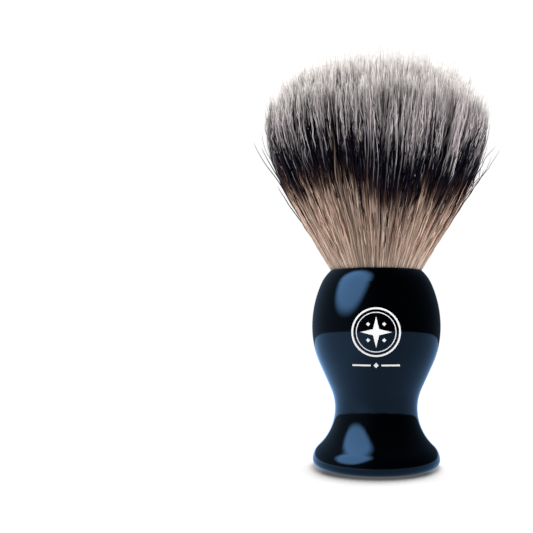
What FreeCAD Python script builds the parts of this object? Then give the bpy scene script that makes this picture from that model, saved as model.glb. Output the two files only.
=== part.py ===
"""Shaving brush: a turned resin handle with a glued-in fibre knot.

The frame is millimetres with +Z up. The origin is on the axis of the brush, at the underside of the
foot pad, which is the surface that the brush stands on. The badge is printed on the side facing -Y.
"""

import FreeCAD
import Part
import Sketcher

import os
import re

V = FreeCAD.Vector
ORIGIN, H_AXIS, V_AXIS = (-1, 1), -1, -2
START, END, CENTRE = 1, 2, 3

# Driving dimensions, in millimetres. Heights are above the surface that the brush stands on.
SIZES = {
    # the turned outline of the handle, from the foot upwards
    "pad_proud": 0.3,
    "foot_radius": 16.6,
    "foot_flat_radius": 15.8,
    "lip_height": 1.8,
    "waist_radius": 10.8,
    "waist_height": 15.0,
    "waist_lower_round": 13.4,
    "waist_upper_round": 12.4,
    "bulb_radius": 16.9,
    "bulb_height": 36.4,
    "bulb_lower_round": 24.4,
    "bulb_upper_round": 27.8,
    "shoulder_round": 10.4,
    "collar_radius": 12.1,
    "collar_height": 51.0,
    "collar_edge": 0.2,
    # the socket bored in the top of the handle, and the glue grooves in its wall
    "socket_radius": 11.4,
    "socket_depth": 16.0,
    "groove_depth": 0.35,
    "groove_width": 1.2,
    "groove_pitch": 4.0,
    # the pocket for the weight, and the recess for the foot pad
    "recess_radius": 12.8,
    "recess_depth": 0.7,
    "pocket_radius": 6.5,
    "pocket_depth": 12.0,
    "plug_thickness": 2.0,
    "slug_length": 9.5,
    "slug_gap": 0.1,
    "slug_bevel": 0.6,
    "pad_gap": 0.2,
    # the knot
    "glue_gap": 0.2,
    "ferrule_wall": 0.5,
    "ferrule_floor": 0.8,
    "ferrule_drop": 1.5,
    "root_resin": 4.4,
    "thread_size": 0.5,
    "thread_turns": 5.0,
    "thread_pitch": 0.54,
    # the free fibres, and the point that they bend about
    "bend_rise": 8.0,
    "ball_gap": 0.3,
    "flank_radius": 16.9,
    "flank_top_radius": 26.2,
    "flank_top_rise": 23.2,
    "loft_radius": 29.3,
    "loft_rise": 34.8,
    "crown_radius": 22.0,
    "crown_rise": 48.2,
    "loft_height": 53.0,
    # the printed badge
    "ink_thickness": 0.06,
    "badge_height": 35.0,
    "badge_radius": 6.0,
    "badge_line": 0.44,
    "inner_ring_radius": 4.9,
    "inner_ring_line": 0.2,
    "star_radius": 3.8,
    "star_waist": 1.05,
    "spark_distance": 2.75,
    "spark_radius": 0.5,
    "rule_drop": 8.1,
    "rule_diamond": 0.65,
    "rule_start": 1.3,
    "rule_end": 5.8,
    "rule_width": 0.42,
    "band_half_height": 10.5,
}


def make_sheet(doc):
    """The spreadsheet of driving dimensions, one aliased cell each."""
    sheet = doc.addObject("Spreadsheet::Sheet", "Sizes")
    for row, (alias, value) in enumerate(SIZES.items(), start=1):
        sheet.set(f"A{row}", alias)
        sheet.set(f"B{row}", str(value))
        sheet.setAlias(f"B{row}", alias)
    doc.recompute()
    return sheet


def bound(expression):
    """An expression in plain aliases, as the document reads it: each alias named on its sheet."""
    return re.sub(r"[a-z_]+", lambda word: f"Sizes.{word[0]}" if word[0] in SIZES else word[0], expression)


def origin_plane(body, role):
    """One of a body's own origin planes, such as XZ_Plane."""
    return next(f for f in body.Origin.OriginFeatures if f.Role == role)


def number(sketch, expression):
    """The value that an expression in plain aliases has now."""
    return float(sketch.evalExpression(bound(expression)))


def dimension(sketch, constraint, expression):
    """Adds a dimension to a sketch and binds it to the sheet."""
    index = sketch.addConstraint(constraint)
    sketch.setExpression(f"Constraints[{index}]", bound(expression))


def pin(sketch, vertex, place):
    """Binds a vertex to a pair of expressions, across and up from the origin."""
    for kind, axis, expression in zip(("DistanceX", "DistanceY"), (V_AXIS, H_AXIS), place):
        if expression == "0":
            sketch.addConstraint(Sketcher.Constraint("PointOnObject", *vertex, axis))
        else:
            value = number(sketch, expression)
            dimension(sketch, Sketcher.Constraint(kind, *ORIGIN, *vertex, value), expression)


class Outline:
    """A closed chain of lines and arcs in a sketch, with its vertices bound to the sheet.

    A vertex is a pair of expressions. One that only tangency places is given as near instead, a
    rough position for the solver to start from.
    """

    def __init__(self, sketch, across, up):
        self.sketch = sketch
        self.start = (across, up)
        self.here = self.first = self.spot(across, up)
        self.begin = self.end = None

    def spot(self, across, up):
        return V(number(self.sketch, across), number(self.sketch, up), 0)

    def chain(self, begin, end, place, target, smooth):
        """Joins a new piece to the last one, tangent to it if smooth, and pins its far end."""
        if self.begin is None:
            self.begin = begin
            pin(self.sketch, begin, self.start)
        else:
            kind = "Tangent" if smooth else "Coincident"
            self.sketch.addConstraint(Sketcher.Constraint(kind, *self.end, *begin))
        if place:
            pin(self.sketch, end, place)
        self.end, self.here = end, target

    def line(self, *place, near=None, smooth=False):
        """A straight piece to a vertex."""
        target = V(*near, 0) if near else self.spot(*place)
        index = self.sketch.addGeometry(Part.LineSegment(self.here, target))
        self.chain((index, START), (index, END), place, target, smooth)

    def arc(self, *place, near=None, radius=None, rough=None, left=True, smooth=False):
        """An arc to a vertex, turning left or right. Its radius is bound, or starts from rough."""
        target = V(*near, 0) if near else self.spot(*place)
        size = number(self.sketch, radius) if radius else rough
        half = (target - self.here) * 0.5
        side = V(-half.y, half.x, 0).normalize() * (1 if left else -1)
        centre = self.here + half + side * max(size**2 - half.Length**2, 0) ** 0.5
        circle = Part.Circle(centre, V(0, 0, 1), size)
        ends = (self.here, target) if left else (target, self.here)
        index = self.sketch.addGeometry(Part.ArcOfCircle(circle, *map(circle.parameter, ends)))
        begin, end = (START, END) if left else (END, START)
        self.chain((index, begin), (index, end), place, target, smooth)
        if radius:
            dimension(self.sketch, Sketcher.Constraint("Radius", index, size), radius)
        return index

    def upright(self, arc, end):
        """Puts an arc's centre level with a vertex, so that the outline is upright there."""
        self.sketch.addConstraint(Sketcher.Constraint("Horizontal", arc, CENTRE, *end))

    def centred(self, arc):
        """Puts an arc's centre on the brush's axis."""
        self.sketch.addConstraint(Sketcher.Constraint("PointOnObject", arc, CENTRE, V_AXIS))

    def meet(self):
        """Joins the last piece to the first one."""
        self.sketch.addConstraint(Sketcher.Constraint("Coincident", *self.end, *self.begin))

    def close(self):
        """The last straight piece, back to the first vertex."""
        self.line(near=self.first[:2])
        self.meet()


def polygon(sketch, points):
    """A closed outline of straight sides through bound vertices."""
    outline = Outline(sketch, *points[0])
    for point in points[1:]:
        outline.line(*point)
    outline.close()


def ring(sketch, place, radius):
    """A circle whose centre and radius are bound to the sheet."""
    size = number(sketch, radius)
    centre = V(*(number(sketch, expression) for expression in place), 0)
    index = sketch.addGeometry(Part.Circle(centre, V(0, 0, 1), size))
    pin(sketch, (index, CENTRE), place)
    dimension(sketch, Sketcher.Constraint("Radius", index, size), radius)


def new_body(doc, label):
    body = doc.addObject("PartDesign::Body", label.title().replace("_", ""))
    body.Label = label
    return body


def new_sketch(body, name, role="XZ_Plane"):
    sketch = body.newObject("Sketcher::SketchObject", name)
    sketch.AttachmentSupport = [(origin_plane(body, role), "")]
    sketch.MapMode = "FlatFace"
    body.Document.recompute()
    return sketch


def turned(body, sketch, kind="Revolution"):
    """Turns a sketch about the brush's axis, as material (Revolution) or as a cut (Groove)."""
    feature = body.newObject(f"PartDesign::{kind}", f"{kind}Of{sketch.Name}")
    feature.Profile = sketch
    feature.ReferenceAxis = (sketch, ["V_Axis"])
    feature.Angle = 360
    body.Document.recompute()
    return feature


def cut_checked(body, sketch):
    """A groove turned from a sketch, which has to take material away."""
    before = body.Shape.Volume
    turned(body, sketch, "Groove")
    if not body.Shape.Volume < before - 1e-3:
        raise RuntimeError(f"{sketch.Name} cut nothing from {body.Label}")


def ring_edges(shape, radius, height):
    """The names of the circular edges of one radius at one height."""
    names = []
    for index, edge in enumerate(shape.Edges, start=1):
        curve = edge.Curve
        if isinstance(curve, Part.Circle):
            if abs(curve.Radius - radius) < 1e-3 and abs(curve.Center.z - height) < 1e-3:
                names.append(f"Edge{index}")
    if not names:
        raise RuntimeError(f"no ring of radius {radius} at height {height}")
    return names


def dressed(body, kind, edges, size_name):
    """A Fillet or Chamfer on some edges of the body, its size bound to the sheet."""
    base = body.Tip
    feature = body.newObject(f"PartDesign::{kind}", f"{kind}{size_name.title().replace('_', '')}")
    feature.Base = (base, edges)
    feature.setExpression("Radius" if kind == "Fillet" else "Size", bound(size_name))
    body.Document.recompute()
    return feature


SOCKET_FLOOR = "collar_height - socket_depth"
FERRULE_BASE = f"{SOCKET_FLOOR} + glue_gap"
FERRULE_TOP = "collar_height - ferrule_drop"
FERRULE_RADIUS = "socket_radius - glue_gap"
FERRULE_BORE = f"{FERRULE_RADIUS} - ferrule_wall"
FERRULE_INSIDE = f"{FERRULE_BASE} + ferrule_floor"
RESIN_TOP = f"{FERRULE_INSIDE} + root_resin"
BINDING_RADIUS = f"{FERRULE_BORE} - thread_size * 1.2"
BINDING_TOP = f"{RESIN_TOP} + thread_pitch * (thread_turns + 1.5)"
BEND_HEIGHT = "collar_height + bend_rise"
CUP_RADIUS = "sqrt((socket_radius - collar_edge) ^ 2 + (bend_rise + collar_edge) ^ 2)"
BALL_RADIUS = f"{CUP_RADIUS} - ball_gap"
POCKET_MOUTH = "pad_proud + recess_depth"


def grooved_wall():
    """The socket's wall from its floor upwards, in and out of the two glue grooves."""
    wall = [("socket_radius", SOCKET_FLOOR)]
    deep = "socket_radius + groove_depth"
    for turn in (1, 2):
        low = f"{SOCKET_FLOOR} + groove_pitch * {turn}"
        high = f"{low} + groove_width"
        wall += [("socket_radius", low), (deep, low), (deep, high), ("socket_radius", high)]
    return wall


def make_handle(doc):
    """The turned handle: foot, waist, bulb and collar, bored for the knot and for the weight."""
    body = new_body(doc, "handle_body")
    sketch = new_sketch(body, "HandleOutline")
    shape = Outline(sketch, "0", "pad_proud")
    shape.line("foot_flat_radius", "pad_proud")
    rim = shape.arc("foot_radius", "lip_height", rough=1.8)
    lip = shape.arc(near=(15.1, 5.1), rough=4.4)
    flare = shape.arc("waist_radius", "waist_height", radius="waist_lower_round", left=False, smooth=True)
    neck = shape.arc(near=(11.9, 20.0), radius="waist_upper_round", left=False)
    shape.line(near=(14.8, 26.4), smooth=True)
    low = shape.arc("bulb_radius", "bulb_height", radius="bulb_lower_round", smooth=True)
    high = shape.arc(near=(14.6, 47.5), radius="bulb_upper_round")
    shape.arc("collar_radius", "collar_height", radius="shoulder_round", smooth=True)
    shape.line("0", "collar_height")
    shape.close()
    for arc, widest in ((rim, (rim, END)), (lip, (rim, END)), (flare, (flare, START)),
                        (neck, (flare, START)), (low, (low, END)), (high, (low, END))):
        shape.upright(arc, widest)
    turned(body, sketch)

    socket = new_sketch(body, "Socket")
    polygon(socket, [("0", SOCKET_FLOOR), *grooved_wall(), ("socket_radius", "collar_height"),
                     ("0", "collar_height")])
    cut_checked(body, socket)

    pocket = new_sketch(body, "WeightPocket")
    top = f"{POCKET_MOUTH} + pocket_depth"
    polygon(pocket, [("0", "pad_proud"), ("recess_radius", "pad_proud"), ("recess_radius", POCKET_MOUTH),
                     ("pocket_radius", POCKET_MOUTH), ("pocket_radius", top), ("0", top)])
    cut_checked(body, pocket)

    mouth = ring_edges(body.Shape, SIZES["socket_radius"], SIZES["collar_height"])
    dressed(body, "Chamfer", mouth, "collar_edge")
    rim_edge = ring_edges(body.Shape, SIZES["collar_radius"], SIZES["collar_height"])
    dressed(body, "Fillet", rim_edge, "collar_edge")
    return body


def make_turned(doc, label, points):
    """A plain turned piece from a closed outline of straight sides."""
    body = new_body(doc, label)
    sketch = new_sketch(body, f"{body.Name}Outline")
    polygon(sketch, points)
    turned(body, sketch)
    return body


def make_weight(doc):
    """The steel slug that keeps the brush upright, bevelled so that it drops into its pocket."""
    radius = "pocket_radius - slug_gap"
    base = f"{POCKET_MOUTH} + plug_thickness"
    top = f"{base} + slug_length"
    return make_turned(doc, "base_weight", [
        ("0", base), (f"{radius} - slug_bevel", base), (radius, f"{base} + slug_bevel"),
        (radius, f"{top} - slug_bevel"), (f"{radius} - slug_bevel", top), ("0", top)])


def make_weight_plug(doc):
    """The disc that shuts the weight in its pocket."""
    body = new_body(doc, "weight_plug")
    sketch = new_sketch(body, "PlugRound", "XY_Plane")
    ring(sketch, ("0", "0"), "pocket_radius")
    disc = body.newObject("PartDesign::Pad", "PlugDisc")
    disc.Profile = sketch
    disc.setExpression("Length", bound("plug_thickness"))
    body.setExpression("Placement.Base.z", bound(POCKET_MOUTH))
    return body


def make_foot_pad(doc):
    """The rubber disc in the recess under the foot, which stands slightly proud of it."""
    body = new_body(doc, "foot_pad")
    sketch = new_sketch(body, "PadRound", "XY_Plane")
    ring(sketch, ("0", "0"), "recess_radius - pad_gap")
    disc = body.newObject("PartDesign::Pad", "PadDisc")
    disc.Profile = sketch
    disc.setExpression("Length", bound(POCKET_MOUTH))
    doc.recompute()
    lower = ring_edges(body.Shape, SIZES["recess_radius"] - SIZES["pad_gap"], 0)
    dressed(body, "Fillet", lower, "collar_edge")
    return body


def make_adhesive(doc):
    """The glue between the socket and the ferrule, with the two rings that fill the grooves."""
    return make_turned(doc, "socket_adhesive", [
        ("0", SOCKET_FLOOR), *grooved_wall(), ("socket_radius", FERRULE_TOP),
        (FERRULE_RADIUS, FERRULE_TOP), (FERRULE_RADIUS, FERRULE_BASE), ("0", FERRULE_BASE)])


def make_ferrule(doc):
    """The thin cup that holds the root of the knot."""
    return make_turned(doc, "knot_ferrule", [
        ("0", FERRULE_BASE), (FERRULE_RADIUS, FERRULE_BASE), (FERRULE_RADIUS, FERRULE_TOP),
        (FERRULE_BORE, FERRULE_TOP), (FERRULE_BORE, FERRULE_INSIDE), ("0", FERRULE_INSIDE)])


def make_root_resin(doc):
    """The resin disc cast round the ends of the fibres."""
    return make_turned(doc, "root_resin", [
        ("0", FERRULE_INSIDE), (FERRULE_BORE, FERRULE_INSIDE), (FERRULE_BORE, RESIN_TOP), ("0", RESIN_TOP)])


def make_fibre_root(doc):
    """The gripped length of the fibres, waisted where the thread ties it, hollowed for the free length."""
    body = new_body(doc, "fibre_root")
    sketch = new_sketch(body, "RootOutline")
    shape = Outline(sketch, "0", RESIN_TOP)
    shape.line(BINDING_RADIUS, RESIN_TOP)
    shape.line(BINDING_RADIUS, BINDING_TOP)
    shape.line(FERRULE_BORE, BINDING_TOP)
    shape.line(FERRULE_BORE, FERRULE_TOP)
    shape.line("socket_radius - collar_edge", "collar_height - collar_edge")
    hollow = shape.arc("0", f"{BEND_HEIGHT} - {CUP_RADIUS}", rough=14.3, left=False)
    shape.centred(hollow)
    shape.close()
    turned(body, sketch)
    return body


def make_binding(doc):
    """The thread wound round the fibres just above the resin."""
    path = doc.addObject("Part::Helix", "BindingPath")
    path.setExpression("Radius", bound(f"{FERRULE_BORE} - thread_size * 0.6"))
    path.setExpression("Pitch", bound("thread_pitch"))
    path.setExpression("Height", bound("thread_pitch * thread_turns"))
    path.setExpression("Placement.Base.z", bound(f"{RESIN_TOP} + thread_pitch * 0.7"))
    end = doc.addObject("Part::Circle", "BindingSection")
    end.setExpression("Radius", bound("thread_size / 2"))
    end.setExpression("Placement.Base.x", "BindingPath.Radius")
    end.setExpression("Placement.Base.z", "BindingPath.Placement.Base.z")
    end.Placement.Rotation = FreeCAD.Rotation(V(1, 0, 0), 90)
    thread = doc.addObject("Part::Sweep", "RootBinding")
    thread.Label = "root_binding"
    thread.Sections = [end]
    thread.Spine = (path, ["Edge1"])
    thread.Solid = True
    thread.Frenet = True
    return thread


def make_loft(doc):
    """The free fibres: a fan on a ball, which leaves room for it to lean over the collar."""
    body = new_body(doc, "fibre_loft")
    sketch = new_sketch(body, "LoftOutline")
    shape = Outline(sketch, "0", f"{BEND_HEIGHT} - ({BALL_RADIUS})")
    ball = shape.arc(BALL_RADIUS, BEND_HEIGHT, rough=14.05)
    shape.centred(ball)
    shape.line("flank_radius", BEND_HEIGHT)
    shape.line("flank_top_radius", "collar_height + flank_top_rise")
    side = shape.arc("loft_radius", "collar_height + loft_rise", rough=21)
    crown = shape.arc("crown_radius", "collar_height + crown_rise", rough=14)
    top = shape.arc("0", "collar_height + loft_height", rough=45)
    shape.upright(side, (side, END))
    shape.upright(crown, (side, END))
    shape.centred(top)
    shape.close()
    turned(body, sketch)
    return body


def make_ink_band(doc):
    """A thin skin on the bulb, as thick as the ink, from which the badge is cut."""
    sketch = doc.addObject("Sketcher::SketchObject", "InkBandOutline")
    sketch.Placement = FreeCAD.Placement(V(0, 0, 0), FreeCAD.Rotation(V(1, 0, 0), 90))
    doc.recompute()
    low, high = "bulb_height - band_half_height", "bulb_height + band_half_height"

    def bulb_at(radius, skin):
        """How far the bulb, or its skin, reaches at the band's edges."""
        return f"bulb_radius - {radius} + sqrt(({radius} + {skin}) ^ 2 - band_half_height ^ 2)"

    shape = Outline(sketch, bulb_at("bulb_lower_round", "0"), low)
    shape.line(bulb_at("bulb_lower_round", "ink_thickness"), low)
    shape.arc("bulb_radius + ink_thickness", "bulb_height", radius="bulb_lower_round + ink_thickness")
    shape.arc(bulb_at("bulb_upper_round", "ink_thickness"), high, radius="bulb_upper_round + ink_thickness")
    shape.line(bulb_at("bulb_upper_round", "0"), high)
    shape.arc("bulb_radius", "bulb_height", radius="bulb_upper_round", left=False)
    shape.arc(near=shape.first[:2], radius="bulb_lower_round", left=False)
    shape.meet()
    band = doc.addObject("Part::Revolution", "InkBand")
    band.Source = sketch
    band.Axis = V(0, 0, 1)
    band.Angle = 60
    band.Solid = True
    band.Placement = FreeCAD.Placement(V(0, 0, 0), FreeCAD.Rotation(V(0, 0, 1), -120))
    return band


def about(centre, across, up):
    """A vertex that lies so far across and up from another one."""
    return f"{centre[0]} + {across}", f"{centre[1]} + {up}"


def diamond(sketch, centre, size):
    """A square that stands on its corner."""
    polygon(sketch, [about(centre, size, "0"), about(centre, "0", size),
                     about(centre, f"-{size}", "0"), about(centre, "0", f"-{size}")])


def draw_star(sketch, centre):
    """A four-pointed star, with a small diamond in each of its corners."""
    slope = "0.7071"
    waist, near = f"star_waist * {slope}", f"spark_distance * {slope}"
    polygon(sketch, [
        about(centre, "star_radius", "0"), about(centre, waist, waist),
        about(centre, "0", "star_radius"), about(centre, f"-{waist}", waist),
        about(centre, "-star_radius", "0"), about(centre, f"-{waist}", f"-{waist}"),
        about(centre, "0", "-star_radius"), about(centre, waist, f"-{waist}")])
    for across in (near, f"-{near}"):
        for up in (near, f"-{near}"):
            diamond(sketch, about(centre, across, up), "spark_radius")


def draw_rule(sketch, centre):
    """A line broken by a diamond."""
    diamond(sketch, centre, "rule_diamond")
    half = "rule_width / 2"
    for side in ("", "-"):
        inner, outer = f"{side}rule_start", f"{side}rule_end"
        polygon(sketch, [about(centre, inner, f"-{half}"), about(centre, outer, f"-{half}"),
                         about(centre, outer, half), about(centre, inner, half)])


def make_badge(doc):
    """The printed badge: two rings round a star, and a rule below them, as thick as the ink."""
    art = doc.addObject("Sketcher::SketchObject", "BadgeArt")
    art.Placement = FreeCAD.Placement(V(0, 0, 0), FreeCAD.Rotation(V(1, 0, 0), 90))
    doc.recompute()
    centre = ("0", "badge_height")
    for radius in ("badge_radius", "badge_radius - badge_line",
                   "inner_ring_radius", "inner_ring_radius - inner_ring_line"):
        ring(art, centre, radius)
    draw_star(art, centre)
    draw_rule(art, ("0", "badge_height - rule_drop"))
    block = doc.addObject("Part::Extrusion", "BadgeBlock")
    block.Base = art
    block.DirMode = "Normal"
    block.FaceMakerClass = "Part::FaceMakerBullseye"
    block.Solid = True
    block.setExpression("LengthFwd", bound("bulb_radius * 1.2"))
    badge = doc.addObject("Part::Common", "PrintedBadge")
    badge.Label = "printed_badge"
    badge.Base = make_ink_band(doc)
    badge.Tool = block
    return badge


def write_parts(doc, parts):
    """Checks every object and every piece, then writes each piece to parts/LABEL.step."""
    doc.recompute()
    for thing in doc.Objects:
        if {"Invalid", "Error"} & set(thing.State):
            raise RuntimeError(f"{thing.Name} failed: {thing.State}")
    for piece in parts:
        if piece.Shape.isNull() or not piece.Shape.isValid():
            raise RuntimeError(f"{piece.Label} has no valid shape")
    os.makedirs("parts", exist_ok=True)
    for piece in parts:
        box = piece.Shape.BoundBox
        print(f"{piece.Label:16} solids {len(piece.Shape.Solids):2}  volume {piece.Shape.Volume:9.2f}"
              f"  z {box.ZMin:6.2f} to {box.ZMax:6.2f}  across {box.XLength:6.2f}")
        piece.Shape.exportStep(f"parts/{piece.Label}.step")


def main():
    doc = FreeCAD.newDocument("ShavingBrush")
    make_sheet(doc)
    makers = (make_handle, make_weight, make_weight_plug, make_foot_pad, make_adhesive, make_ferrule,
              make_root_resin, make_fibre_root, make_binding, make_loft, make_badge)
    write_parts(doc, [make(doc) for make in makers])


main()
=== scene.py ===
"""The looks of a shaving brush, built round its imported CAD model. Lengths are in metres, +Z up.

The free fibres are real geometry: thin tapered tubes that run from the collar to a domed crown. Their
colours depend only on the UV map, so that they export as exactly the same bands.
"""

import math

import bpy
import numpy as np
from mathutils import Matrix, Vector


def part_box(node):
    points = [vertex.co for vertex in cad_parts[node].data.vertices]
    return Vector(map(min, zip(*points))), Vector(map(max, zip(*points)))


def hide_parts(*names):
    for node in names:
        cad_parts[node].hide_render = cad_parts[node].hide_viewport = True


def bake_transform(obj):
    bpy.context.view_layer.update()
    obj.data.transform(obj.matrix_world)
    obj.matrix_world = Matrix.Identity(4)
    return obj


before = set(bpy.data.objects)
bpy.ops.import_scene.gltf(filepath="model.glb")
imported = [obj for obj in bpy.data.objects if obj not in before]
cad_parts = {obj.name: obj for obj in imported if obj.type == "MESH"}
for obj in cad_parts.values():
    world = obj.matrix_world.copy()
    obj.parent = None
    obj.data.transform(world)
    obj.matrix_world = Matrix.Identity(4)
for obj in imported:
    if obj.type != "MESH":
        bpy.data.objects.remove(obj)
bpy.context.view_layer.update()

MM = 0.001
TURN = 2 * math.pi
RNG = np.random.default_rng(52)

# The knot, in millimetres above the collar and out from the axis.
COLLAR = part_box("handle_body")[1].z / MM
ROOT_RADIUS = 11.35
ROOT_DEPTH = 0.6
DOME_RADIUS = 28.8
DOME_HEIGHT = 19.5
DOME_CENTRE = 34.5
DOME_SQUARENESS = 3.0
FAN_ANGLE = math.radians(30.5)
TIP_SPREAD = math.radians(81)
TIP_LEAN, RIM_LEAN = 0.20, 0.03
LOW_ARM, LOW_ARM_DROP = 20, 2.6
HIGH_ARM, HIGH_ARM_DROP = 16, 2


# ---------------------------------------------------------------------------------------------- fibres

def fan(u):
    """Control points, across and up, of the fibre that starts a share u of the root's radius out."""
    polar = np.arccos(1 - u**2 * (1 - math.cos(TIP_SPREAD)))
    power = 2 / DOME_SQUARENESS
    root = np.stack([ROOT_RADIUS * u, -ROOT_DEPTH * np.ones_like(u)], -1)
    tip = np.stack([DOME_RADIUS * np.sin(polar)**power, DOME_CENTRE + DOME_HEIGHT * np.cos(polar)**power], -1)
    start, end = FAN_ANGLE * u, TIP_LEAN * np.sin(math.pi * u) - RIM_LEAN * u**4
    low = root + (LOW_ARM - LOW_ARM_DROP * u)[:, None] * np.stack([np.sin(start), np.cos(start)], -1)
    high = tip - (HIGH_ARM - HIGH_ARM_DROP * u)[:, None] * np.stack([np.sin(end), np.cos(end)], -1)
    return root, low, high, tip


def bezier(points, t):
    """Positions at parameters t along cubic curves, one curve a row."""
    a, b, c, d = (p[:, None, :] for p in points)
    t = t[..., None]
    return a * (1 - t)**3 + 3 * b * t * (1 - t)**2 + 3 * c * t**2 * (1 - t) + d * t**3


def around(profile, angle):
    """Turns positions across and up into space, each row at its own angle round the axis."""
    out, up = profile[..., 0], profile[..., 1]
    angle = angle.reshape(-1, *([1] * (out.ndim - 1)))
    return np.stack([out * np.cos(angle), out * np.sin(angle), up], -1)


def finished(name, mesh, uv, material):
    """Gives a mesh its map, one row a face corner, and its material, and puts it in the scene."""
    layer = mesh.uv_layers.new(name="OFBake")
    layer.data.foreach_set("uv", np.asarray(uv, np.float32).ravel())
    mesh.polygons.foreach_set("use_smooth", np.ones(len(mesh.polygons), bool))
    mesh.materials.append(material)
    mesh.validate()
    obj = bpy.data.objects.new(name, mesh)
    bpy.context.collection.objects.link(obj)
    return obj


def tube_faces(count, rings):
    """Corner numbers and face sizes of three-sided tubes that end in a point."""
    per = (rings - 1) * 3 + 1
    corner = np.arange(3)
    ladder = np.arange(rings - 2)[:, None] * 3 + corner
    step = np.arange(rings - 2)[:, None] * 3 + (corner + 1) % 3
    quads = np.stack([ladder, step, step + 3, ladder + 3], -1).reshape(-1, 4)
    last = (rings - 2) * 3
    caps = np.array([[0, 2, 1]] + [[last + k, last + (k + 1) % 3, per - 1] for k in range(3)])
    base = (np.arange(count) * per)[:, None]
    loops = np.concatenate([base + quads.ravel(), base + caps.ravel()], 1)
    return loops, np.tile(np.r_[np.full(len(quads), 4), np.full(len(caps), 3)], count)


def tube_mesh(name, path, radius, columns, bands, material):
    """One mesh of three-sided tapered tubes. path is fibre, ring, xyz in millimetres above the collar."""
    count, rings, _ = path.shape
    along = np.gradient(path, axis=1)
    along /= np.linalg.norm(along, axis=-1, keepdims=True)
    aside = RNG.normal(size=(count, 1, 3))
    side = np.cross(along, aside)
    side /= np.linalg.norm(side, axis=-1, keepdims=True)
    other = np.cross(along, side)
    corners = TURN * np.arange(3)[:, None] / 3
    ring = side[:, :, None] * np.cos(corners) + other[:, :, None] * np.sin(corners)
    ring = path[:, :, None] + ring * radius[:, :, None, None]
    verts = np.concatenate([ring[:, :-1].reshape(count, -1, 3), path[:, -1:]], 1)
    loops, sizes = tube_faces(count, rings)

    mesh = bpy.data.meshes.new(name)
    mesh.vertices.add(verts.shape[0] * verts.shape[1])
    mesh.vertices.foreach_set("co", ((verts + [0, 0, COLLAR]) * MM).astype(np.float32).ravel())
    mesh.loops.add(loops.size)
    mesh.loops.foreach_set("vertex_index", loops.ravel().astype(np.int32))
    mesh.polygons.add(len(sizes))
    mesh.polygons.foreach_set("loop_start", np.r_[0, np.cumsum(sizes)[:-1]].astype(np.int32))
    mesh.update(calc_edges=True)

    heights = np.concatenate([np.repeat(bands[:, :-1], 3, 1), bands[:, -1:]], 1)
    uv = np.stack([np.repeat(columns[:, None], verts.shape[1], 1), heights], -1).reshape(-1, 2)
    return finished(name, mesh, uv[loops.ravel()], material)


# The fibres gather into tufts. Each tuft drifts sideways, stretches and sways in its own way.
TUFTS = 1500
TUFT_U = RNG.uniform(0, 1, TUFTS)**0.75
TUFT_ANGLE = RNG.uniform(0, TURN, TUFTS)
TUFT_TONE = RNG.uniform(0, 1, TUFTS)
TUFT_DRIFT = RNG.normal(0, 0.75, (TUFTS, 3)) * [1, 1, 0]
TUFT_STRETCH = RNG.normal(0, 0.008, TUFTS)
TUFT_SWING = RNG.normal(0, 0.32, (TUFTS, 1, 3)) * [1, 1, 0]
TUFT_PACE = RNG.uniform(5, 13, (TUFTS, 1, 3))
TUFT_PHASE = RNG.uniform(0, TURN, (TUFTS, 1, 3))


def gathered(path, u, angle, share, gather):
    """Pulls the fibres towards their nearest tufts. Also returns each fibre's tuft."""
    spot = np.stack([u * np.cos(angle), u * np.sin(angle)], -1)
    hubs = np.stack([TUFT_U * np.cos(TUFT_ANGLE), TUFT_U * np.sin(TUFT_ANGLE)], -1)
    tuft = np.argmin(((spot[:, None] - hubs[None])**2).sum(-1), 1)
    tuft_path = around(bezier(fan(TUFT_U[tuft]), share), TUFT_ANGLE[tuft])
    pull = share**1.6 * RNG.uniform(0.3 * gather, gather, (len(u), 1))
    path = path + (tuft_path - path) * pull[..., None]
    path += TUFT_DRIFT[tuft][:, None] * (share**1.5)[..., None]
    sway = np.sin(TUFT_PACE[tuft] * share[..., None] + TUFT_PHASE[tuft])
    return path + TUFT_SWING[tuft] * sway * (share**0.8)[..., None], tuft


def strayed(path, tuft, share, wander, wave, kink, flare):
    """Lets each fibre lean, wave, kink and stretch a little on its own."""
    count = len(path)
    path = path + (RNG.normal(0, wander, (count, 1, 3)) * [1, 1, 0.2]) * (share**1.2)[..., None]
    phase = RNG.uniform(0, TURN, (count, 1, 3))
    pace = RNG.uniform(7, 24, (count, 1, 3))
    for size, speed, shift, power in ((wave, 1, 1, 0.7), (kink, 3.1, 2, 0.5)):
        swing = RNG.normal(0, size, (count, 1, 3)) * [1, 1, 0]
        path += swing * np.sin(speed * pace * share[..., None] + shift * phase) * (share**power)[..., None]
    stretch = TUFT_STRETCH[tuft] + RNG.normal(0, 0.010, count) - 0.03 * RNG.uniform(0, 1, count)**4
    stretch = stretch[:, None] * share
    path[..., 2] *= 1 + stretch
    widen = flare * RNG.uniform(0, 1, (count, 1)) * share**2
    path[..., :2] *= (1 + 0.5 * stretch + widen)[..., None]
    return path


GRID = 16
SHADED_FRONT, DARK_SIDE, PALE_SIDE = (math.radians(turn) for turn in (-90, -60, -122))


def tinted(angle, tuft):
    """Each fibre's column of the UV map, which holds its tone and, within the tone, its shade.

    A high tone moves the dark band towards the root, and a low shade darkens the whole fibre. Fibres on the
    side that faces the camera get more tone and darker shades: painted shade on the front of the knot.
    """
    count = len(angle)
    # painted shade: fibres on the side that faces the camera get more tone and darker shades
    front_shade, dark, pale = (np.exp(sharp * (np.cos(angle - way) - 1))
                         for way, sharp in ((SHADED_FRONT, 8), (DARK_SIDE, 3), (PALE_SIDE, 12)))
    tone = 0.11 + 0.15 * dark + 0.06 * front_shade - 0.10 * pale
    tone += 0.27 * TUFT_TONE[tuft] + 0.24 * RNG.uniform(0, 1, count)
    shade = np.floor(GRID * RNG.uniform(0, 0.999, count)**(0.8 + 0.6 * front_shade))
    return (np.floor(np.clip(tone, 0, 0.999) * GRID) * GRID + shade + 0.5) / GRID**2


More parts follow.
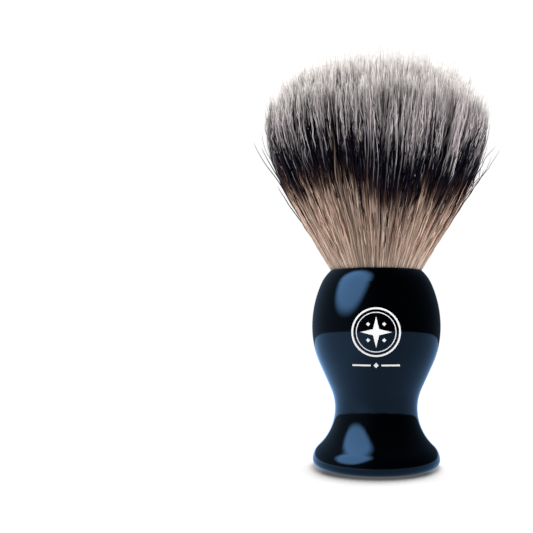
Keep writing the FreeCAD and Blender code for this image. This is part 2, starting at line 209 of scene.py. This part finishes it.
def fibres(name, material, count, roots, rings, first=0.0, width=0.32, ends=(0.97, 1.0), bands=(0.0, 1.0),
           gather=0.85, fill=0.5, wander=0.46, wave=0.30, kink=0.0, flare=0.0):
    """A layer of fibres, from a share of their length upwards, at roots between two shares of the radius.

    They end between two shares of the full length. Small kinks need closely spaced rings. bands are the
    heights on the map at the root and the tip, and fill below 1 leaves the axis thinner than the rim.
    """
    low, high = roots
    u = RNG.uniform(low**(1 / fill), high**(1 / fill), count)**fill
    angle = RNG.uniform(0, TURN, count)
    along = np.linspace(0, 1, rings)[None, :]**0.9
    length = ends[1] - (ends[1] - ends[0]) * RNG.uniform(0, 1, (count, 1))**1.6
    share = first + (length - first) * along
    path, tuft = gathered(around(bezier(fan(u), share), angle), u, angle, share, gather)
    path = strayed(path, tuft, share, wander, wave, kink, flare)

    taper = 0.22 + 0.78 * np.clip((1 - along) * (1 - first) / 0.30, 0, 1)**0.7
    radius = width / 2 * (0.65 + 0.7 * RNG.uniform(0, 1, (count, 1))**2) * taper
    heights = bands[0] + (bands[1] - bands[0]) * share / length
    return tube_mesh(name, path, radius, tinted(angle, tuft), heights, material)


def core(name, material, reach=0.86, shoulder=0.74, crown=0.70, rise=10.5):
    """The inner mass of the bundle, just under the outermost fibres and their tips. It is darker than the
    fibres over it
    and its cap stays in the dark band: painted shade in the gaps between the tufts, over a real inner mass of
    fibres.

    Its flank follows the fibres that start a share reach of the root's radius out, up to a share shoulder
    of their length. A cap that rises above the shoulder closes it.
    """
    sides, flank_rings, cap_rings = 96, 30, 9
    turn = TURN * np.arange(sides) / sides
    share = np.linspace(0, shoulder, flank_rings)
    flank = bezier(fan(np.array([reach])), share[None, :])[0]
    edge_r, edge_z = flank[-1]
    polar = math.pi / 2 * np.linspace(1, 0, cap_rings + 2)[1:-1]
    cap = np.stack([edge_r * np.sin(polar), edge_z + rise * np.cos(polar)], -1)
    profile = np.concatenate([flank, cap])
    # the cap's bands stop at crown, in the dark band below the pale tips: painted shade between the tufts
    share = np.r_[share, np.linspace(shoulder, crown, cap_rings + 1)[:-1]]
    ripple = 1 + 0.012 * np.sin(turn * 23) + 0.01 * np.sin(turn * 37 + 1)
    verts = [(r * k * math.cos(a), r * k * math.sin(a), z)
             for (r, z) in profile for a, k in zip(turn, ripple)]
    verts += [(0, 0, profile[0, 1]), (0, 0, edge_z + rise)]
    bottom, top = len(verts) - 2, len(verts) - 1

    # dark shades on the flank and one dark column on the cap: painted shade inside the knot
    column = (RNG.integers(0, GRID, sides) * GRID + RNG.integers(2, 8, sides) + 0.5) / GRID**2
    shaded_cap_column = (GRID // 2 * GRID + 2.5) / GRID**2
    faces, uv = [], []

    def face(corners, side, heights):
        faces.append(corners)
        uv.extend((side, height) for height in heights)

    for j in range(len(profile) - 1):
        for i in range(sides):
            a, b = j * sides + i, j * sides + (i + 1) % sides
            face((a, b, b + sides, a + sides), column[i] if j < flank_rings - 1 else shaded_cap_column,
                 (share[j], share[j], share[j + 1], share[j + 1]))
    last = (len(profile) - 1) * sides
    for i in range(sides):
        k = (i + 1) % sides
        face((bottom, k, i), column[i], (0, 0, 0))
        face((last + i, last + k, top), shaded_cap_column, (share[-1],) * 3)
    mesh = bpy.data.meshes.new(name)
    mesh.from_pydata([Vector(v) * MM + Vector((0, 0, COLLAR * MM)) for v in verts], [], faces)
    return finished(name, mesh, uv, material)


# ------------------------------------------------------------------------------------------- materials

class Nodes:
    """A short way to write a material's nodes."""

    def __init__(self, name):
        self.material = bpy.data.materials.new(name)
        self.material.use_nodes = True
        self.tree = self.material.node_tree
        self.shader = self.tree.nodes["Principled BSDF"]

    def new(self, kind, **values):
        node = self.tree.nodes.new(f"ShaderNode{kind}")
        for key, value in values.items():
            setattr(node, key, value)
        return node

    def plug(self, socket, value):
        if isinstance(value, bpy.types.NodeSocket):
            self.tree.links.new(value, socket)
        else:
            socket.default_value = value

    def math(self, operation, *values):
        node = self.new("Math", operation=operation)
        for socket, value in zip(node.inputs, values):
            self.plug(socket, value)
        return node.outputs[0]

    def times(self, *values):
        return self.math("MULTIPLY", *values)

    def plus(self, *values):
        return self.math("ADD", *values)

    def minus(self, *values):
        return self.math("SUBTRACT", *values)

    def smooth(self, value, low, high):
        """0 below low, 1 above high, and a soft step between them."""
        node = self.new("MapRange", interpolation_type="SMOOTHSTEP")
        for socket, number in zip(node.inputs, (value, low, high)):
            self.plug(socket, number)
        return node.outputs[0]

    def spread(self, value, low, high):
        """A value of 0 to 1 spread over low to high."""
        node = self.new("MapRange")
        for socket, number in zip(node.inputs, (value, 0.0, 1.0, low, high)):
            self.plug(socket, number)
        return node.outputs[0]

    def mix(self, share, first, second):
        node = self.new("Mix", data_type="RGBA")
        for key, value in zip((0, 6, 7), (share, first, second)):
            if key and not isinstance(value, bpy.types.NodeSocket):
                value = (*value, 1)
            self.plug(node.inputs[key], value)
        return node.outputs[2]

    def place(self):
        return self.new("TexCoord").outputs["Object"]

    def split(self, vector):
        node = self.new("SeparateXYZ")
        self.tree.links.new(vector, node.inputs[0])
        return node.outputs

    def noise(self, scale, detail=3.0):
        node = self.new("TexNoise")
        node.inputs["Scale"].default_value = scale
        node.inputs["Detail"].default_value = detail
        self.tree.links.new(self.place(), node.inputs["Vector"])
        return node.outputs[0]

    def emission(self, colour, strength):
        node = self.new("Emission")
        node.inputs["Color"].default_value = (*colour, 1)
        self.plug(node.inputs["Strength"], strength)
        return node.outputs[0]

    def output(self, share, first, second):
        """Sends a mix of two shaders to the material's output, in place of the usual shader."""
        self.tree.nodes.remove(self.shader)
        node = self.new("MixShader")
        for socket, value in zip(node.inputs, (share, first, second)):
            self.tree.links.new(value, socket)
        self.tree.links.new(node.outputs[0], self.tree.nodes["Material Output"].inputs[0])
        return self.material

    def set(self, **values):
        for key, value in values.items():
            socket = self.shader.inputs[key.replace("_", " ")]
            if isinstance(value, tuple) and len(value) == 3:
                value = (*value, 1)
            self.plug(socket, value)
        return self.material


BEIGE = (0.74, 0.55, 0.445)
TAN = (0.30, 0.155, 0.11)
PALE_ROOT = (0.76, 0.59, 0.48)
BROWN = (0.09, 0.048, 0.040)
BLACK = (0.012, 0.011, 0.020)
STREAK = (0.42, 0.40, 0.42)
SILVER = (0.82, 0.738, 0.755)
WHITE = (0.795, 0.77, 0.735)


def fibre_material(name, painted_depth_shade=1.0):
    """Bands along each fibre. Sixteen tones move the bands up and down, and sixteen shades tint them.

    A second argument below 1 darkens every band: painted shade for the fibres that lie inside the knot.
    """
    n = Nodes(name)
    column, height = n.split(n.new("UVMap", uv_map="OFBake").outputs[0])[:2]
    cell = n.times(column, GRID)
    tone = n.minus(n.math("DIVIDE", n.math("FLOOR", cell), GRID - 1.0), 0.5)
    shade = n.math("DIVIDE", n.math("FLOOR", n.times(n.math("FRACT", cell), GRID)), GRID - 1.0)
    mixed = n.math("FRACT", n.times(shade, 4.7))
    spread = n.minus(mixed, 0.5)
    early = n.times(n.smooth(mixed, 0.80, 0.95), 0.10)
    lower = n.plus(n.plus(height, early), n.times(tone, 0.40))
    upper = n.plus(height, n.plus(n.times(tone, 0.40), n.times(spread, 0.24)))

    colour = n.mix(n.smooth(mixed, 0.40, 1.0), BEIGE, TAN)
    colour = n.mix(n.smooth(height, 0.16, 0.0), colour, PALE_ROOT)
    colour = n.mix(n.smooth(lower, 0.365, 0.49), colour, BROWN)
    colour = n.mix(n.smooth(lower, 0.455, 0.575), colour, BLACK)
    colour = n.mix(n.smooth(upper, 0.725, 0.865), colour, SILVER)
    colour = n.mix(n.smooth(height, 0.90, 1.0), colour, WHITE)
    pale = n.times(n.smooth(shade, 0.88, 0.95), n.smooth(lower, 0.50, 0.68))
    colour = n.mix(n.times(pale, 0.5), colour, STREAK)

    # the shades differ less towards the tips
    even = n.minus(1.0, n.times(n.smooth(height, 0.88, 1.0), 0.6))
    # the second argument scales the fibre down: painted shade for fibres inside the knot
    level = n.times(n.plus(n.times(n.minus(shade, 0.5), even), 0.90), painted_depth_shade)
    shaded = n.new("VectorMath", operation="SCALE")
    n.tree.links.new(colour, shaded.inputs[0])
    n.tree.links.new(level, shaded.inputs["Scale"])
    return n.set(Base_Color=shaded.outputs[0], Roughness=0.6, Specular_IOR_Level=0.0)


def plain_material(name, colour, roughness, metallic=0.0, scale=600.0, vary=0.12, **more):
    """A colour and a roughness that vary slightly over the surface."""
    n = Nodes(name)
    noise = n.noise(scale)
    darker = tuple(c * (1 - vary) for c in colour)
    n.set(Base_Color=n.mix(noise, darker, colour), Metallic=metallic)
    n.set(Roughness=n.spread(noise, roughness * 0.85, roughness * 1.15))
    return n.set(**more)


def resin_material():
    """Polished blue-black cast resin."""
    n = Nodes("handle_resin")
    noise = n.noise(240.0, 2.0)
    n.set(Base_Color=n.mix(noise, (0.0003, 0.0005, 0.0009), (0.0004, 0.0007, 0.0012)))
    return n.set(Roughness=n.spread(noise, 0.045, 0.075), IOR=1.5, Specular_IOR_Level=0.27)


# ----------------------------------------------------------------------------------- the object itself

def paint(material, *nodes):
    for node in nodes:
        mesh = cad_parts[node].data
        mesh.materials.clear()
        mesh.materials.append(material)


paint(resin_material(), "handle_body")
paint(plain_material("badge_ink", (0.97,) * 3, 0.6, vary=0.03, Specular_IOR_Level=0.1), "printed_badge")
paint(plain_material("weight_steel", (0.55, 0.56, 0.58), 0.35, metallic=1.0), "base_weight")
paint(plain_material("moulded_plastic", (0.045, 0.045, 0.05), 0.5), "weight_plug", "knot_ferrule")
paint(plain_material("pad_rubber", (0.022, 0.022, 0.024), 0.8, scale=1500.0, vary=0.3), "foot_pad")
paint(plain_material("epoxy", (0.62, 0.48, 0.27), 0.15), "socket_adhesive", "root_resin")
paint(plain_material("binding_thread", (0.80, 0.78, 0.72), 0.7, scale=2500.0, vary=0.3), "root_binding")

OUTER = fibre_material("brush_fibre")
# a darker copy for the core and the fibres under the outer ones: painted shade inside the knot
INNER_SHADED = fibre_material("brush_fibre_inner_shaded", painted_depth_shade=0.55)

# Each layer's name, material and number of pieces, which keeps any one piece from being too heavy.
LAYERS = (
    ("outer", OUTER, 5, dict(count=900, roots=(0.96, 1.0), rings=37, ends=(0.78, 1.0),
                             kink=0.16, wander=0.52)),
    ("under", INNER_SHADED, 2, dict(count=2350, roots=(0.88, 0.97), rings=15, ends=(0.85, 1.0))),
    ("shoulder", OUTER, 2, dict(count=3000, roots=(0.64, 0.92), rings=12, first=0.34, ends=(0.92, 1.0),
                                gather=0.7)),
    ("crown", OUTER, 3, dict(count=6500, roots=(0.0, 0.70), rings=6, first=0.74, gather=0.5, fill=0.75)),
)
STRAY = dict(count=170, roots=(0.97, 1.0), rings=24, width=0.30, ends=(0.45, 0.86), bands=(0.3, 0.68),
             kink=0.1, wander=1.3, wave=0.5, flare=0.28)

pieces = [core("fibres_core", INNER_SHADED)]
for layer, material, copies, shape in LAYERS:
    pieces += [fibres(f"fibres_{layer}_{k + 1}", material, **shape) for k in range(copies)]
pieces.append(fibres("fibres_stray", OUTER, **STRAY))
for piece in pieces:
    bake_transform(piece)
    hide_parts("fibre_loft", "fibre_root")
    piece.visible_glossy = False


# -------------------------------------------------------------------------- floor, lights and camera

POLISH_BLUE = (0.22, 0.51, 1.0)
POLISH_FLOOR = (0.29, 0.56, 1.0)
POLISH_DARK = (0.42, 0.66, 1.0)
FULL_WHITE = (1.0, 1.0, 1.0)


def make_floor(radius=0.36, reach=0.015, lean=(0.10, 0.80, 0.60)):
    """A round white table, darker within reach of what stands on it, and blue in the polish of the resin.

    The shadow is the occlusion towards lean. It fades to the sides of the foot.
    """
    bpy.ops.mesh.primitive_circle_add(vertices=128, radius=radius, fill_type="NGON", location=(0, 0, -2e-5))
    floor = bpy.context.object
    floor.name = "floor"
    n = Nodes("floor_white")
    near = n.new("AmbientOcclusion", samples=16)
    near.inputs["Distance"].default_value = reach
    normal = n.new("CombineXYZ")
    for socket, value in zip(normal.inputs, lean):
        socket.default_value = value
    n.tree.links.new(normal.outputs[0], near.inputs["Normal"])
    across = n.split(n.place())[0]
    beside = n.times(n.smooth(n.math("ABSOLUTE", across), 0.012, 0.020), 0.65)
    shadow = n.times(n.smooth(near.outputs["AO"], 0.83, 0.52), n.minus(1.0, beside))
    white = n.emission(FULL_WHITE, n.minus(1.02, n.times(shadow, 0.92)))
    leftward = n.times(n.smooth(across, 0.004, -0.05), 0.75)
    blue = n.emission(POLISH_FLOOR, n.plus(leftward, 1.04))
    floor.data.materials.append(n.output(n.new("LightPath").outputs["Is Glossy Ray"], white, blue))


def make_world(ambient=0.36):
    """White to the eye, a soft grey to matt surfaces, and dark to polished ones but for its sides."""
    world = bpy.data.worlds.new("studio")
    bpy.context.scene.world = world
    world.use_nodes = True
    tree = world.node_tree
    tree.nodes.clear()

    def new(kind):
        return tree.nodes.new(f"ShaderNode{kind}")

    def glow(value, low, high, level):
        step = new("MapRange")
        step.interpolation_type = "SMOOTHSTEP"
        tree.links.new(value, step.inputs[0])
        for socket, number in zip(list(step.inputs)[1:5], (low, high, 0.0, level)):
            socket.default_value = number
        return step.outputs[0]

    def backdrop(colour, strength):
        node = new("Background")
        node.inputs["Color"].default_value = (*colour, 1)
        if isinstance(strength, float):
            node.inputs["Strength"].default_value = strength
        else:
            tree.links.new(strength, node.inputs["Strength"])
        return node.outputs[0]

    split = new("SeparateXYZ")
    tree.links.new(new("TexCoord").outputs["Generated"], split.inputs[0])
    both = new("Math")
    both.operation = "ADD"
    tree.links.new(glow(split.outputs[0], 0.1, -1.0, 0.26), both.inputs[0])
    tree.links.new(glow(split.outputs[1], -0.5, 0.9, 0.11), both.inputs[1])
    path = new("LightPath")
    shown = backdrop(FULL_WHITE, ambient)
    for switch, other in (("Is Glossy Ray", backdrop(POLISH_DARK, both.outputs[0])),
                          ("Is Camera Ray", backdrop(FULL_WHITE, 1.0))):
        mix = new("MixShader")
        for socket, value in zip(mix.inputs, (path.outputs[switch], shown, other)):
            tree.links.new(value, socket)
        shown = mix.outputs[0]
    tree.links.new(shown, new("OutputWorld").inputs[0])


def face_brush(obj, direction, distance, height):
    """Puts an object to the left of the camera's side and up, in degrees, facing a height on the axis."""
    turn, up = map(math.radians, direction)
    way = Vector((-math.sin(turn) * math.cos(up), -math.cos(turn) * math.cos(up), math.sin(up)))
    obj.location = Vector((0, 0, height)) + way * distance
    obj.rotation_euler = way.to_track_quat("Z", "Y").to_euler()


def make_light(name, direction, distance, size, radiance, height=0.06):
    """A flat softbox that lights the brush and isn't seen in its polish."""
    data = bpy.data.lights.new(name, "AREA")
    data.shape = "RECTANGLE"
    data.size, data.size_y = size
    data.energy = radiance * math.pi * size[0] * size[1]
    light = bpy.data.objects.new(name, data)
    bpy.context.collection.objects.link(light)
    face_brush(light, direction, distance, height)
    light.visible_glossy = False
    light.visible_camera = False


def make_glow(name, direction, distance, half, radiance, height=0.045, squareness=2.3):
    """The softbox as the polish shows it: a rounded square with soft edges that only reflections see."""
    bpy.ops.mesh.primitive_plane_add(size=2)
    square = bpy.context.object
    square.name = name
    face_brush(square, direction, distance, height)
    square.scale = (*half, 1)
    n = Nodes(name)
    across, up = (n.math("POWER", n.math("ABSOLUTE", side), squareness) for side in n.split(n.place())[:2])
    span = n.math("POWER", n.plus(across, up), 1 / squareness)
    clear = n.new("BsdfTransparent").outputs[0]
    blue = n.emission(POLISH_BLUE, radiance)
    square.data.materials.append(n.output(n.smooth(span, 1.0, 0.55), clear, blue))
    square.visible_camera = square.visible_diffuse = square.visible_shadow = False
    square.visible_transmission = False


def make_camera(place, yaw, pitch, roll):
    """Angles in degrees. The camera looks along +Y before it is turned."""
    data = bpy.data.cameras.new("camera")
    data.sensor_width = 36
    data.lens = 48
    data.shift_x, data.shift_y = -0.13, 0.05
    data.clip_start, data.clip_end = 0.01, 10
    camera = bpy.data.objects.new("camera", data)
    bpy.context.collection.objects.link(camera)
    turns = [Matrix.Rotation(math.radians(angle), 4, axis)
             for angle, axis in ((yaw, "Z"), (90 + pitch, "X"), (roll, "Z"))]
    camera.matrix_world = Matrix.Translation(place) @ turns[0] @ turns[1] @ turns[2]
    bpy.context.scene.camera = camera


make_floor()
make_world()
make_glow("softbox_seen", direction=(58, 44), distance=0.45, half=(0.285, 0.35), radiance=9.9)
make_light("softbox", direction=(62, 42), distance=0.45, size=(0.34, 0.34), radiance=3.3)
make_light("overhead", direction=(0, 88), distance=0.5, size=(0.5, 0.5), radiance=5.6)
make_light("fill", direction=(-68, 22), distance=0.7, size=(0.4, 0.4), radiance=4.4)
make_camera(place=(0, -0.1885, 0.0369), yaw=3.25, pitch=2.5, roll=0.14)
bpy.context.scene.view_settings.view_transform = "Standard"
